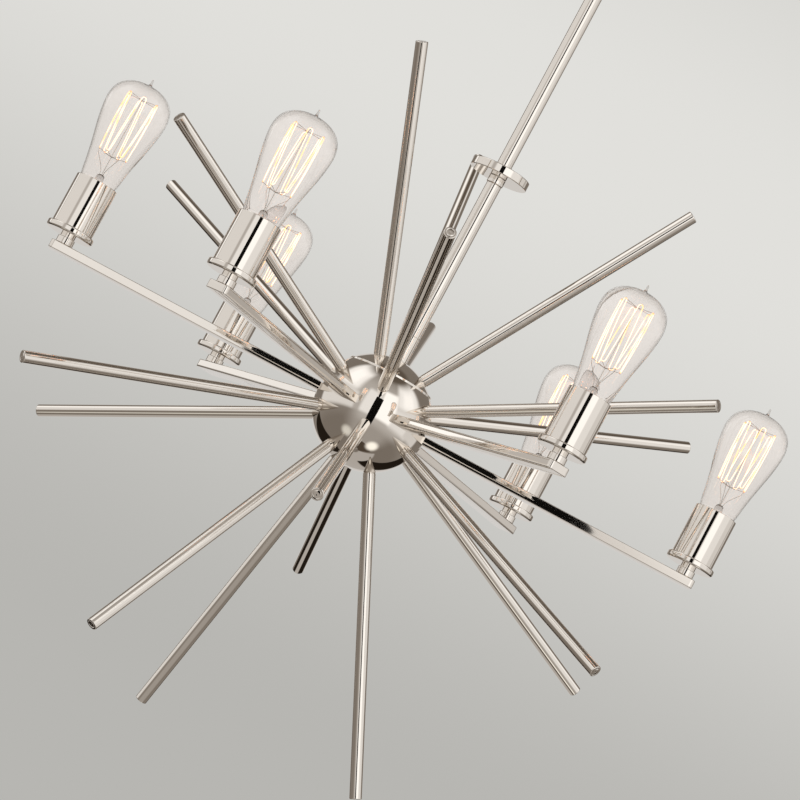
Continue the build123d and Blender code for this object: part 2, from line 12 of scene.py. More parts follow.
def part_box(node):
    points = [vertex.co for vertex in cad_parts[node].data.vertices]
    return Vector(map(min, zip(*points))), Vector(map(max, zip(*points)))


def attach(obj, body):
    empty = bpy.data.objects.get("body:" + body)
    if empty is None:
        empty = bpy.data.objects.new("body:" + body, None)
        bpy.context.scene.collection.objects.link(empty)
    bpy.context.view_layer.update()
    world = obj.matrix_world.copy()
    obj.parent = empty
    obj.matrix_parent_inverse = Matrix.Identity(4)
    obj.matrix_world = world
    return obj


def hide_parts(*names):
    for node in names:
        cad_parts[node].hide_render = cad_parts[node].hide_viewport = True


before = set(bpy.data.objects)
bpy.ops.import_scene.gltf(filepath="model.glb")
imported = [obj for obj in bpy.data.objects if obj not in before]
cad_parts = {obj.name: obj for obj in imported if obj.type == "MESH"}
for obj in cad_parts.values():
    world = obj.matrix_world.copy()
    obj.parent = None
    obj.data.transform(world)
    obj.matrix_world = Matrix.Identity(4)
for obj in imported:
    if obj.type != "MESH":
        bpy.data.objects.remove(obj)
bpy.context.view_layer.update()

MM = 0.001
MERGE = MM / 500        # points nearer than this are one
PIPE_HOLE = 5.1         # radius of the holes round the threaded tube

# Stem, ball hub and arms
STEM_RADIUS = 8.0
STEM_EDGE = 0.4
HUB_RADIUS = 60.0
HUB_WALL = 5.0
SEAM_HEIGHT = 40.0
HUB = Vector((0, 0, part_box("hub_shell")[0].z + HUB_RADIUS * MM))   # hub's centre, in metres
ARM_START = 21.5        # inner end of an arm, from the stem's axis
ARM_OVERHANG = 12.3     # arm beyond the lamp's axis
ARM_HALF_WIDTH = 12.0
ARM_FOOT = -6.0
ARM_TOP = 2.6

# Rods: distance of their tips from the hub's centre, then azimuth and elevation of each in degrees
ROD_RADIUS = 6.35
UPPER_REACH = 377.0
LOWER_REACH = 385.5
UPPER_RODS = [(29, 22.5), (88.5, 24), (148, 21), (211, 22.5), (268, 22), (327, 22)]
LOWER_RODS = [(28, -20.5), (89, -21.5), (148.5, -21), (207.5, -20), (269, -20.5), (329, -21.5)]
TOP_RODS = [(98, 57), (222.5, 62.5), (350, 59)]
BOTTOM_RODS = [(9, -64), (118, -67), (226.5, -58)]

# Lamps
LAMP_COUNT = 6
LAMP_RADIUS = 351.5     # lamp's axis from the stem's
CUP_FOOT = 13.6
CUP_HEIGHT = 60.6
FLANGE_HEIGHT = 7.0
CAP_TOP = 69.9          # upper edge of the bulb's screw cap
GLASS_WALL = 1.0
MOUNT_TOP = CAP_TOP + 14.0

# Bulb's glass as (radius, height above the cap): foot and open mount, side, tip, then the inside skin
GLASS_FOOT = [
    (0, 8.0), (1.8, 7.4), (3.0, 5.4), (3.0, 0), (3.6, -3.5), (5.6, -7.0), (9.0, -9.4), (11.8, -10.0),
    (12.3, -9.5),
]
GLASS_SIDE = [
    (12.3, -1.0), (12.8, 0.2), (14.2, 1.3), (16.4, 2.6), (18.3, 4.2), (19.5, 6.4), (20.4, 10.0),
    (21.2, 15.0), (22.0, 20.5), (23.0, 26.5), (24.3, 33.5), (26.1, 42.0), (28.4, 52.0), (30.6, 62.0),
    (32.3, 71.5), (33.4, 80.0), (33.8, 87.0), (33.5, 92.0), (32.4, 97.5), (30.4, 102.4), (27.4, 106.4),
    (23.4, 109.8), (18.6, 112.5), (13.4, 114.3), (8.6, 115.2),
]
GLASS_TIP = [
    (5.0, 115.6), (2.8, 116.1), (1.7, 117.1), (1.2, 118.8), (1.1, 120.8), (0.9, 122.4), (0.5, 123.2),
    (0, 123.4),
]
MOUNT_SKIN = [
    (0, 14.0), (2.6, 13.6), (4.0, 12.2), (4.5, 10.0), (4.3, 6.0), (4.5, 0), (5.0, -3.0), (6.8, -6.4),
    (9.4, -7.8), (10.9, -7.6), (11.3, -6.8),
]
DOME_SKIN = [(4.0, 114.6), (0, 114.7)]

# Screw cap of the bulb in the same way, and one turn of its thread
CAP_SIDE = [
    (0, -27.5), (3.2, -27.35), (4.3, -26.9), (4.5, -26.0), (7.0, -25.0), (10.6, -23.2), (12.2, -21.7),
    (12.3, -21.1), (12.3, -4.4), (12.9, -3.6), (13.0, -2.6), (13.0, -0.3), (12.7, 0), (12.5, 0), (12.5, -6),
    (0, -20),
]
THREAD_TURN = [
    (12.2, -21.3), (12.45, -20.8), (12.85, -20.2), (13.0, -19.6), (12.85, -19.0), (12.45, -18.4),
    (12.2, -17.9),
]
THREAD_PITCH = 3.4
THREAD_COUNT = 4

# Squirrel cage: (radius, height) of its hooks, and the strand's bend round a hook as (aside, rise)
FOOT_HOOKS = (15.0, CAP_TOP + 37.0)
HEAD_HOOKS = (17.2, CAP_TOP + 101.0)
HOOK_COUNT = 6
HOOK_TURN = radians(7.5)
HOOK_BEND = [(-2.3, -2.0), (-1.6, -0.5), (0, 0), (1.6, -0.5), (2.3, -2.0)]
STRAND_BOW = 0.9
STRAND_WIRE = 0.9
SUPPORT_WIRE = 0.5
SPIDER_RADIUS = 8.0     # where the hooks' arms bend
LEADS = (0, 2, 4)       # hooks that the leads from the mount go to

# Camera, in metres and degrees, with its lens in millimetres
VIEW_TURN = 0.46
VIEW_WAY = Vector((0, 0.9925, 0.1220))     # from the camera to the hub, before the turn
VIEW_DISTANCE = 4.844
VIEW_RIGHT = 0.0186     # picture's centre from the hub's, before the roll
VIEW_UP = 0.0247
VIEW_ROLL = 28.16
LENS = 218
SENSOR = 36
CLIP_END = 60

# Flats and softboxes that the metal mirrors, as (side, left, right, low, high, soft, level): azimuths on
# the front or back half of the room, elevations and soft margin in degrees, and grey from 0 to 255
FLATS = [
    ("front", -118, -44, -9, 14, 8, 210),
    ("front", -22, 0, -8, 30, 9, 226),
    ("front", 46, 84, -8, 16, 12, 220),
    ("front", 84, 118, -8, 14, 8, 200),
    ("front", 11, 38, -8, 40, 8, 255),
    ("front", -120, -113, 2, 13, 2, 176),
    ("front", -128, -117.4, 2, 13, 0.4, 255),
    ("front", -128, -121.4, 2, 13, 1, 232),
    ("front", 112, 120, 2, 13, 2, 164),
    ("front", 119.4, 128, 2, 13, 0.5, 187),
    ("back", -17, 17, -23, 27, 3, 190),
    ("back", -17, 17, -64, -24, 3, 164),
    ("back", -17, 86, -80, -60, 3, 164),
    ("back", -54, -20, -60, -19, 2, 26),
    ("back", 21, 47, -58, -8, 2, 24),
    ("front", 18, 84, -82, -66, 2, 62),
    ("front", -100, -56, 28, 52, 17, 240),
    ("front", 48, 92, 32, 54, 17, 234),
    ("front", -86, -68, 34, 46, 14, 255),
    ("front", 62, 78, 36, 46, 14, 250),
]

# Low lamps as (azimuth, elevation, radius of the core, level), with the radius of their glow
LOW_LAMPS = [(-46, -56, 1, 206), (57, -59, 3, 255)]
LAMP_GLOW = 15

REFLECTION_GAIN = 0.28  # share by which reflections are brighter than the studio's tones

# Stage, in metres
FLOOR_SIZE = 14
FLOOR_DROP = 1.75       # below the hub's centre
CARD_PLACE = (0.097, -3.3, HUB.z - 0.15)
CARD_SIZE = (0.886, 3.5, 1)     # its width and height


# ---- Camera and studio ----------------------------------------------------------------------------

def set_camera():
    """Camera at the photograph's place: a little below the hub, rolled, with a long lens."""
    turn = Matrix.Rotation(radians(VIEW_TURN), 3, "Z")
    right = turn @ Vector((1, 0, 0))
    forward = turn @ VIEW_WAY
    up = right.cross(forward)
    place = HUB - VIEW_DISTANCE * forward
    look = (HUB + VIEW_RIGHT * right + VIEW_UP * up - place).normalized()
    roll = radians(VIEW_ROLL)
    across = (cos(roll) * right + sin(roll) * up).normalized()
    across = (across - across.dot(look) * look).normalized()
    rise = look.cross(across) * -1
    turned_to = Matrix((across, rise, -look)).transposed()
    bpy.ops.object.camera_add(location=place, rotation=turned_to.to_euler())
    camera = bpy.context.object
    camera.data.lens = LENS
    camera.data.sensor_width = SENSOR
    camera.data.clip_end = CLIP_END
    bpy.context.scene.camera = camera


class Wire:
    """Output of a shader node. Python's operators on it add Math nodes to its tree."""

    def __init__(self, tree, socket):
        self.tree, self.socket = tree, socket

    def math(self, operation, first, second):
        return self.tree.add("ShaderNodeMath", {"operation": operation}, {0: first, 1: second})

    def __add__(self, other):
        return self.math("ADD", self, other)

    def __radd__(self, other):
        return self.math("ADD", other, self)

    def __mul__(self, other):
        return self.math("MULTIPLY", self, other)

    def __rmul__(self, other):
        return self.math("MULTIPLY", other, self)

    def step(self, low, high):
        """Smooth step from 0 at low to 1 at high."""
        return self.tree.add(
            "ShaderNodeMapRange", {"interpolation_type": "SMOOTHSTEP"},
            {"Value": self, "From Min": low, "From Max": high},
        )


class Tree:
    """Node tree of a finish or of the world."""

    def __init__(self, owner):
        owner.use_nodes = True
        self.nodes, self.links = owner.node_tree.nodes, owner.node_tree.links
        self.nodes.clear()

    def add(self, kind, settings=None, inputs=None, output=0):
        """Node of a type, with its settings made first and then its sockets' values or links.

        Returns the wire of one output, where the node has any. A colour is written without its alpha.
        """
        node = self.nodes.new(kind)
        for name, value in (settings or {}).items():
            setattr(node, name, value)
        for name, value in (inputs or {}).items():
            socket = node.inputs[name]
            if isinstance(value, Wire):
                self.links.new(value.socket, socket)
            else:
                socket.default_value = (*value, 1) if socket.type == "RGBA" else value
        if node.outputs:
            return Wire(self, node.outputs[output])

    def mix(self, factor, first, second):
        """Colour between two colours."""
        settings = {"data_type": "RGBA", "clamp_factor": True}
        return self.add("ShaderNodeMix", settings, {0: factor, 6: first, 7: second}, 2)


def tone(*parts):
    """Linear colour of a screen's red, green and blue from 0 to 255."""
    return tuple(((c / 255 + 0.055) / 1.055) ** 2.4 if c > 10 else c / 255 / 12.92 for c in parts)


def warm(level):
    """Grey of the studio, browner the darker it is, by up to a share of its level."""
    neutral, rate, most = 230, 0.055, 0.22
    lean = min(rate * max(neutral - level, 0), most * level)
    return tone(level + lean, level, level - lean)


def window(value, low, high, soft):
    """1 between two bounds, fading out over a soft margin beyond them."""
    return value.step(low - soft, low) * value.step(high + soft, high)


def studio_colour(tree, x, y, z):
    """What polished metal sees round it: dim room, softboxes, white flats, floor and black corners.

    Azimuths on the front and back half of the room, and elevations, are in degrees.
    """
    front = tree.add("ShaderNodeMath", {"operation": "ARCTAN2"}, {0: x, 1: y * -1}) * (180 / pi)
    back = tree.add("ShaderNodeMath", {"operation": "ARCTAN2"}, {0: x, 1: y}) * (180 / pi)
    rise = tree.add("ShaderNodeMath", {"operation": "ARCSINE"}, {0: z}) * (180 / pi)

    lit_walls = window(front, -82, 88, 26) * rise.step(84, 36)
    ceiling = rise.step(62, 74)
    room = tree.mix(lit_walls, warm(108), warm(168))
    room = tree.mix(ceiling, room, warm(78))
    far_floor = tree.mix(window(front, -12, 60, 40), warm(122), warm(174))
    near_floor = tree.mix(window(front, -18, 42, 42), warm(108), warm(147))
    floor = tree.mix(rise.step(-15, -36), far_floor, near_floor)
    colour = tree.mix(rise.step(-10, -18), room, floor)

    for side, left, right, low, high, soft, level in FLATS:
        angle = front if side == "front" else back
        mask = window(angle, left, right, soft) * window(rise, low, high, soft)
        colour = tree.mix(mask, colour, warm(level))

    for azimuth, elevation, core, level in LOW_LAMPS:
        flat = cos(radians(elevation))
        way = (sin(radians(azimuth)) * flat, -cos(radians(azimuth)) * flat, sin(radians(elevation)))
        nearness = x * way[0] + y * way[1] + z * way[2]
        glow = nearness.step(cos(radians(LAMP_GLOW)), cos(radians(core)))
        colour = tree.mix(glow * glow, colour, tone(level, level - 2, level - 9))
    return colour


def studio_world():
    """World with three faces: backdrop for the camera, studio for reflections, plain light for the rest."""
    world = bpy.data.worlds.new("studio")
    bpy.context.scene.world = world
    tree = Tree(world)
    way = tree.add("ShaderNodeTexCoord")
    x, y, z = [tree.add("ShaderNodeSeparateXYZ", None, {0: way}, axis) for axis in range(3)]
    foot, middle, top = tone(183, 182, 178), tone(225, 224, 220), tone(214, 213, 209)
    backdrop = tree.mix(z.step(0.055, 0.19), foot, middle)
    backdrop = tree.mix(z.step(0.20, 0.26), backdrop, top)
    studio = studio_colour(tree, x, y, z)
    is_camera, is_transmission, is_glossy = [
        tree.add("ShaderNodeLightPath", None, None, name)
        for name in ("Is Camera Ray", "Is Transmission Ray", "Is Glossy Ray")
    ]
    is_seen = tree.add("ShaderNodeMath", {"operation": "MAXIMUM"}, {0: is_camera, 1: is_transmission})
    colour = tree.mix(is_glossy, tone(222, 221, 218), studio)
    colour = tree.mix(is_seen, colour, backdrop)
    gain = 1.0 + is_glossy * REFLECTION_GAIN
    light = tree.add("ShaderNodeBackground", None, {"Color": colour, "Strength": gain})
    tree.add("ShaderNodeOutputWorld", None, {"Surface": light})


def stage_pieces(finishes):
    """Pale floor far below, and the narrow black card in front that only reflections show."""
    bpy.ops.object.select_all(action="DESELECT")
    bpy.ops.mesh.primitive_plane_add(size=FLOOR_SIZE, location=(0, 0, HUB.z - FLOOR_DROP))
    floor = bpy.context.object
    floor.name = "studio_floor"
    floor.data.materials.append(finishes["floor"])
    floor.visible_glossy = False
    bpy.ops.object.select_all(action="DESELECT")
    bpy.ops.mesh.primitive_plane_add(size=1, location=CARD_PLACE, rotation=(pi / 2, 0, 0))
    card = bpy.context.object
    card.scale = CARD_SIZE
    card.name = "black_card"
    card.data.materials.append(finishes["card"])
    card.visible_camera = False
    card.visible_diffuse = False
    card.visible_shadow = False
    card.visible_transmission = False


# ---- Finishes -------------------------------------------------------------------------------------

def finish_tree(name):
    """New material and its empty tree."""
    material = bpy.data.materials.new(name)
    return material, Tree(material)


def surface(tree, inputs):
    """Principled shader of a material, and its output."""
    shader = tree.add("ShaderNodeBsdfPrincipled", None, inputs)
    tree.add("ShaderNodeOutputMaterial", None, {"Surface": shader})


def noise(tree, scale, detail=2.0):
    """Cloudy pattern of a piece, from 0 to 1, in its own coordinates."""
    place = tree.add("ShaderNodeTexCoord", None, None, "Object")
    return tree.add("ShaderNodeTexNoise", None, {"Vector": place, "Scale": scale, "Detail": detail}, "Fac")


def bump(tree, strength, distance, height):
    """Normal of a surface that a pattern raises by up to a distance in metres."""
    return tree.add("ShaderNodeBump", None, {"Strength": strength, "Distance": distance, "Height": height})


def polished_nickel():
    """Warm bright plating: faint polishing haze, slow waves in the reflections and soft tone changes."""
    material, tree = finish_tree("polished_nickel")
    haze = noise(tree, 60, 4)
    smear = noise(tree, 14, 2)
    surface(tree, {
        "Base Color": tree.mix(smear, (0.79, 0.738, 0.675), (0.83, 0.776, 0.712)),
        "Metallic": 1.0,
        "Roughness": 0.03 + haze.step(0.5, 0.8) * 0.03 + smear.step(0.45, 0.7) * 0.02,
        "Normal": bump(tree, 0.6, 0.00003, noise(tree, 22, 1)),
    })
    return material


def zinc_steel():
    """Dull plated steel with crystal patches."""
    material, tree = finish_tree("zinc_steel")
    place = tree.add("ShaderNodeTexCoord", None, None, "Object")
    crystals = tree.add("ShaderNodeTexVoronoi", None, {"Vector": place, "Scale": 260.0}, "Color")
    crystals = tree.add("ShaderNodeSeparateColor", None, {0: crystals})
    surface(tree, {
        "Base Color": tree.mix(crystals, (0.42, 0.43, 0.44), (0.60, 0.61, 0.61)),
        "Metallic": 1.0,
        "Roughness": 0.32 + crystals * 0.14,
        "Normal": bump(tree, 0.25, 0.0001, noise(tree, 900, 3)),
    })
    return material


def glazed_ceramic():
    """White glazed body with faint specks."""
    material, tree = finish_tree("glazed_ceramic")
    specks = noise(tree, 1400, 3).step(0.66, 0.74)
    surface(tree, {
        "Base Color": tree.mix(specks, (0.80, 0.78, 0.72), (0.60, 0.55, 0.46)),
        "Roughness": 0.18 + noise(tree, 90) * 0.1,
        "Normal": bump(tree, 0.2, 0.0001, noise(tree, 180, 2)),
    })
    return material


def bulb_brass():
    """Nickel-washed brass of the bulb's cap, with dull patches."""
    material, tree = finish_tree("bulb_brass")
    patches = noise(tree, 160, 4)
    colour = tree.mix(patches.step(0.4, 0.7), (0.78, 0.68, 0.47), (0.66, 0.58, 0.42))
    surface(tree, {"Base Color": colour, "Metallic": 1.0, "Roughness": 0.16 + patches * 0.22})
    return material


def clear_glass():
    """Blown glass with slight unevenness, and painted shade that darkens its colour where it is seen edge on.
    """
    material, tree = finish_tree("clear_glass")
    # Painted shade: the base colour turns near black where the glass is seen edge on, in place of the dark
    # outlines that its refraction gives.
    rim = tree.add("ShaderNodeLayerWeight", None, {"Blend": 0.5}, "Facing").step(0.79, 0.90)
    surface(tree, {
        "Base Color": tree.mix(rim, (0.93, 0.905, 0.895), (0.11, 0.085, 0.07)),
        "Roughness": 0.0,
        "IOR": 1.45,
        "Transmission Weight": 1.0,
        "Normal": bump(tree, 0.05, 0.00002, noise(tree, 35, 1)),
    })
    return material


def glowing_filament():
    """Carbon strand: near white seen straight on, orange towards its edges, a little uneven along it."""
    material, tree = finish_tree("glowing_filament")
    edge = tree.add("ShaderNodeLayerWeight", None, {"Blend": 0.5}, "Facing").step(0.10, 0.42)
    core = tree.mix(noise(tree, 55, 1).step(0.52, 0.66), (1.0, 0.86, 0.62), (1.0, 0.55, 0.22))
    surface(tree, {
        "Base Color": (0.05, 0.04, 0.03),
        "Roughness": 0.6,
        "Emission Color": tree.mix(edge, core, (1.0, 0.30, 0.07)),
        "Emission Strength": 2.6,
    })
    return material


def support_wire():
    """Thin molybdenum wires, in a patchy warm grey."""
    material, tree = finish_tree("support_wire")
    patches = noise(tree, 500, 2)
    colour = tree.mix(patches, (0.55, 0.50, 0.44), (0.75, 0.70, 0.62))
    surface(tree, {"Base Color": colour, "Metallic": 1.0, "Roughness": 0.25 + patches * 0.2})
    return material


def floor_paper():
    """Pale paper with a broad, faint change of tone."""
    material, tree = finish_tree("floor_paper")
    grain = noise(tree, 3, 3)
    colour = tree.mix(grain, tone(190, 189, 185), tone(196, 195, 191))
    surface(tree, {"Base Color": colour, "Roughness": 0.8})
    return material


def card_black():
    """Matt black card."""
    material, tree = finish_tree("card_black")
    weave = noise(tree, 30, 2)
    colour = tree.mix(weave, (0.006, 0.006, 0.006), (0.012, 0.011, 0.010))
    surface(tree, {"Base Color": colour, "Roughness": 0.9, "Specular IOR Level": 0.0})
    return material


# ---- Shaping --------------------------------------------------------------------------------------

def arc(centre, radius, start, end, count):
    """Points of an outline's rounding, from one angle to another in degrees."""
    turns = [radians(start + (end - start) * k / count) for k in range(count + 1)]
    return [(centre[0] + radius * cos(a), centre[1] + radius * sin(a)) for a in turns]


def low_edge(rim, foot, radius, count):
    """Rounding from an outline's foot to its side."""
    return arc((rim - radius, foot + radius), radius, -90, 0, count)


def high_edge(rim, top, radius, count):
    """Rounding from an outline's side to its top."""
    return arc((rim - radius, top - radius), radius, 0, 90, count)


def choose(piece):
    """Selects one piece alone and makes it active."""
    bpy.ops.object.select_all(action="DESELECT")
    piece.select_set(True)
    bpy.context.view_layer.objects.active = piece


def edit_vertex(name, point):
    """New mesh of one vertex, left in edit mode with it selected. The point is in millimetres."""
    bpy.ops.object.select_all(action="DESELECT")
    bpy.ops.mesh.primitive_plane_add(size=MM, location=(0, 0, 0))
    piece = bpy.context.object
    piece.name = piece.data.name = name
    bpy.ops.object.mode_set(mode="EDIT")
    bpy.ops.mesh.select_mode(type="VERT")
    bpy.ops.mesh.select_all(action="SELECT")
    bpy.ops.mesh.merge(type="CENTER")
    bpy.ops.transform.translate(value=Vector(point) * MM)
    return piece


def draw_line(points):
    """Extrudes the selected vertex from point to point."""
    for start, end in zip(points, points[1:]):
        step = (Vector(end) - Vector(start)) * MM
        bpy.ops.mesh.extrude_vertices_move(TRANSFORM_OT_translate={"value": step})


def held(outline):
    """Outline with a point near both ends of each long straight, so that roundings don't bend its shading."""
    gap, least = 0.15, 4
    points = [outline[0]]
    for start, end in zip(outline, outline[1:]):
        start, end = Vector(start), Vector(end)
        length = (end - start).length
        if length > least:
            points += [tuple(start.lerp(end, gap / length)), tuple(end.lerp(start, gap / length))]
        points.append(tuple(end))
    return points


def turned(name, *outlines, steps, level=0.0, straights=True):
    """Piece turned about the Z axis from its (radius, height) outlines, each spun as a skin of its own.

    A closed outline repeats its first point, and the level is added to all heights.
    """
    skins = []
    for number, outline in enumerate(outlines):
        outline = held(outline) if straights else outline
        points = [(radius, 0, height + level) for radius, height in outline]
        skin = edit_vertex(f"{name}_{number}", points[0])
        draw_line(points)
        bpy.ops.mesh.select_all(action="SELECT")
        bpy.ops.mesh.remove_doubles(threshold=MERGE)
        bpy.ops.mesh.select_all(action="SELECT")
        bpy.ops.mesh.spin(steps=steps, angle=2 * pi, center=(0, 0, 0), axis=(0, 0, 1))
        bpy.ops.mesh.select_all(action="SELECT")
        bpy.ops.mesh.remove_doubles(threshold=MERGE)
        bpy.ops.mesh.normals_make_consistent(inside=number > 0)
        bpy.ops.object.mode_set(mode="OBJECT")
        skins.append(skin)
    piece = joined(name, skins)
    smooth(piece, 35)
    return piece


def joined(name, pieces):
    """Pieces made one."""
    choose(pieces[0])
    if len(pieces) > 1:
        for piece in pieces:
            piece.select_set(True)
        bpy.ops.object.join()
    pieces[0].name = pieces[0].data.name = name
    return pieces[0]


def smooth(piece, angle):
    """Smooth shading, apart from edges that turn by more than an angle in degrees."""
    choose(piece)
    bpy.ops.object.shade_smooth_by_angle(angle=radians(angle))


def placed(piece, name, place):
    """Copy of a piece, with its own mesh, moved and turned by a matrix."""
    choose(piece)
    bpy.ops.object.duplicate(linked=False)
    twin = bpy.context.object
    twin.name = twin.data.name = name
    twin.matrix_world = place @ twin.matrix_world
    bpy.ops.object.transform_apply(location=True, rotation=True, scale=True)
    return twin


def on_cap(points):
    """Outline's points with their heights counted from the hub's centre, not from the bulb's cap."""
    return [(radius, CAP_TOP + height) for radius, height in points]


def arm_place(number):
    """Matrix from the first arm's own frame, with its origin on the hub's axis, to an arm's place."""
    return Matrix.Translation(HUB) @ Matrix.Rotation(2 * pi * number / LAMP_COUNT, 4, "Z")


def lamp_place(number):
    """Matrix from the lamp axis's own frame, at the hub's level, to the lamp's place."""
    return arm_place(number) @ Matrix.Translation((LAMP_RADIUS * MM, 0, 0))


def keep(piece, finish, body, node):
    """Finish, body, slot and replaced CAD node of a finished piece."""
    piece.data.materials.clear()
    piece.data.materials.append(finish)
    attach(piece, body)
    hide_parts(node)


# ---- Ceiling fixing and stem ----------------------------------------------------------------------

def make_canopy():
    """Spun pan, open towards the ceiling."""
    rim, foot, corner, wall = 63.5, -26.0, 6.0, 1.5
    outline = [
        (PIPE_HOLE, foot), *low_edge(rim, foot, corner, 10), (rim, 0), (rim - wall, 0),
        *arc((rim - corner, foot + corner), corner - wall, 0, -90, 8),
        (PIPE_HOLE, foot + wall), (PIPE_HOLE, foot),
    ]
    return turned("canopy_pan", outline, steps=160)


def make_ring():
    """Ring under the canopy, with a fine groove round its side."""
    top, foot, rim, edge = -26.0, -34.0, 13.0, 1.5
    groove_foot, groove_top, slope, depth = foot + 3.4, foot + 4.6, 0.4, 0.5
    outline = [
        (PIPE_HOLE, foot), *low_edge(rim, foot, edge, 5),
        (rim, groove_foot), (rim - depth, groove_foot + slope),
        (rim - depth, groove_top - slope), (rim, groove_top),
        *high_edge(rim, top, edge, 5), (PIPE_HOLE, top), (PIPE_HOLE, foot),
    ]
    return turned("canopy_ring_turned", outline, steps=96)


def make_tube(name, node):
    """Stem tube with lightly rounded ends, as tall as its CAD node."""
    foot, top = (corner.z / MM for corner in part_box(node))
    outline = [
        (PIPE_HOLE, foot), *low_edge(STEM_RADIUS, foot, STEM_EDGE, 3),
        *high_edge(STEM_RADIUS, top, STEM_EDGE, 3), (PIPE_HOLE, top), (PIPE_HOLE, foot),
    ]
    return turned(name, outline, steps=72)


def make_disc():
    """Disc with a boss under it and a hollow between the two."""
    foot, top = (corner.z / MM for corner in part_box("stem_disc"))
    under, rim, boss, edge, hollow = top - 9.0, 31.5, 8.8, 1.0, 0.8
    outline = [
        (PIPE_HOLE, foot), *low_edge(boss, foot, edge, 4),
        *arc((boss + hollow, under - hollow), hollow, 180, 90, 4),
        *low_edge(rim, under, edge, 5), *high_edge(rim, top, edge, 5),
        (PIPE_HOLE, top), (PIPE_HOLE, foot),
    ]
    return turned("stem_disc_turned", outline, steps=160)


def make_base():
    """Sleeve whose foot follows the ball."""
    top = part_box("stem_base")[1].z / MM
    radii = (PIPE_HOLE, 6, 7, STEM_RADIUS)
    foot = [(radius, HUB.z / MM + sqrt(HUB_RADIUS**2 - radius**2)) for radius in radii]
    outline = [*foot, *high_edge(STEM_RADIUS, top, STEM_EDGE, 3), (PIPE_HOLE, top), foot[0]]
    return turned("stem_base_sleeve", outline, steps=72)


# ---- Hub and rods ---------------------------------------------------------------------------------

def degrees_up(height, radius):
    """Elevation on a ball of a point at a height."""
    return degrees(asin(height / radius))


def make_hub():
    """Ball's lower part with its lip, and its cap, each with a wall. A fine step parts them at the seam."""
    level = HUB.z / MM
    rim = sqrt(HUB_RADIUS**2 - SEAM_HEIGHT**2)
    lip_rim, lip_foot, lip_edge, lip_width = rim + 1.2, SEAM_HEIGHT - 2.2, 0.2, 2.5
    inner = HUB_RADIUS - HUB_WALL
    inner_seam = degrees_up(SEAM_HEIGHT, inner)
    shell = [
        *arc((0, 0), HUB_RADIUS, -90, degrees_up(lip_foot, HUB_RADIUS), 72),
        *low_edge(lip_rim, lip_foot, lip_edge, 3), *high_edge(lip_rim, SEAM_HEIGHT, lip_edge, 3),
        (rim - lip_width, SEAM_HEIGHT), *arc((0, 0), inner, inner_seam, -90, 40),
    ]
    shell = turned("hub_ball", shell, steps=192, level=level)
    step, seam = 0.1, degrees_up(SEAM_HEIGHT, HUB_RADIUS) + 0.3
    hole, inner_hole = 90 - 4.9, 90 - 5.3
    under = (rim - 0.9, SEAM_HEIGHT - 0.4)
    cap = [
        under, *arc((0, 0), HUB_RADIUS - step, seam, hole, 30),
        *arc((0, 0), inner, inner_hole, inner_seam, 20), under,
    ]
    cap = turned("hub_top", cap, steps=192, level=level)
    return shell, cap


def make_rod(reach):
    """Rod that points up from the ball: grooved foot, rounded edge, and a faint facing ring on its end."""
    root, groove_top, shoulder, groove_depth = 57.0, 60.1, 60.5, 0.5
    ring_out, ring_middle, ring_in, ring_depth = 2.2, 2.35, 2.5, 0.08
    dimple, dimple_depth = 0.5, 0.15
    outline = [
        (0, root), (ROD_RADIUS - groove_depth, root), (ROD_RADIUS - groove_depth, groove_top),
        (ROD_RADIUS, shoulder), *high_edge(ROD_RADIUS, reach, 0.8, 5),
        (ROD_RADIUS - ring_out, reach), (ROD_RADIUS - ring_middle, reach - ring_depth),
        (ROD_RADIUS - ring_in, reach), (dimple, reach), (0, reach - dimple_depth),
    ]
    return turned("rod", outline, steps=64)


def make_rods(group, reach, directions):
    """Rods of one tier, named after their CAD node in the singular."""
    one = make_rod(reach)
    pieces = []
    for number, (azimuth, elevation) in enumerate(directions, start=1):
        aim = Matrix.Rotation(radians(azimuth), 4, "Z") @ Matrix.Rotation(radians(90 - elevation), 4, "Y")
        pieces.append(placed(one, f"{group[:-1]}_{number}", Matrix.Translation(HUB) @ aim))
    bpy.data.objects.remove(one)
    return pieces


# ---- Arms and lamps, modelled on the first arm or on the lamp axis --------------------------------

def make_arm():
    """Flat bar with rounded outer corners and softly broken edges.

    The large faces' borders are marked sharp, so that the edges' roundings don't bend their shading.
    """
    low = Vector((ARM_START, -ARM_HALF_WIDTH, ARM_FOOT)) * MM
    high = Vector((LAMP_RADIUS + ARM_OVERHANG, ARM_HALF_WIDTH, ARM_TOP)) * MM
    corner, edge, flat_area = 4.5 * MM, 0.7 * MM, 40 * MM * MM
    bpy.ops.object.select_all(action="DESELECT")
    bpy.ops.mesh.primitive_cube_add(size=1, location=(low + high) / 2, scale=high - low)
    piece = bpy.context.object
    piece.name = "arm_bar"
    bpy.ops.object.transform_apply(location=True, rotation=True, scale=True)
    bevel(piece, corner, 12, lambda a, b: min(a.x, b.x) > high.x - MM and abs(a.z - b.z) > MM)
    bevel(piece, edge, 3, lambda a, b: max(a.x, b.x) > low.x + MM and abs(a.z - b.z) < MM / 10)
    face_outwards(piece)
    smooth(piece, 40)
    for face in piece.data.polygons:
        face.select = face.area > flat_area
    bpy.ops.object.mode_set(mode="EDIT")
    bpy.ops.mesh.select_mode(type="FACE")
    bpy.ops.mesh.region_to_loop()
    bpy.ops.mesh.mark_sharp()
    bpy.ops.object.mode_set(mode="OBJECT")
    return piece


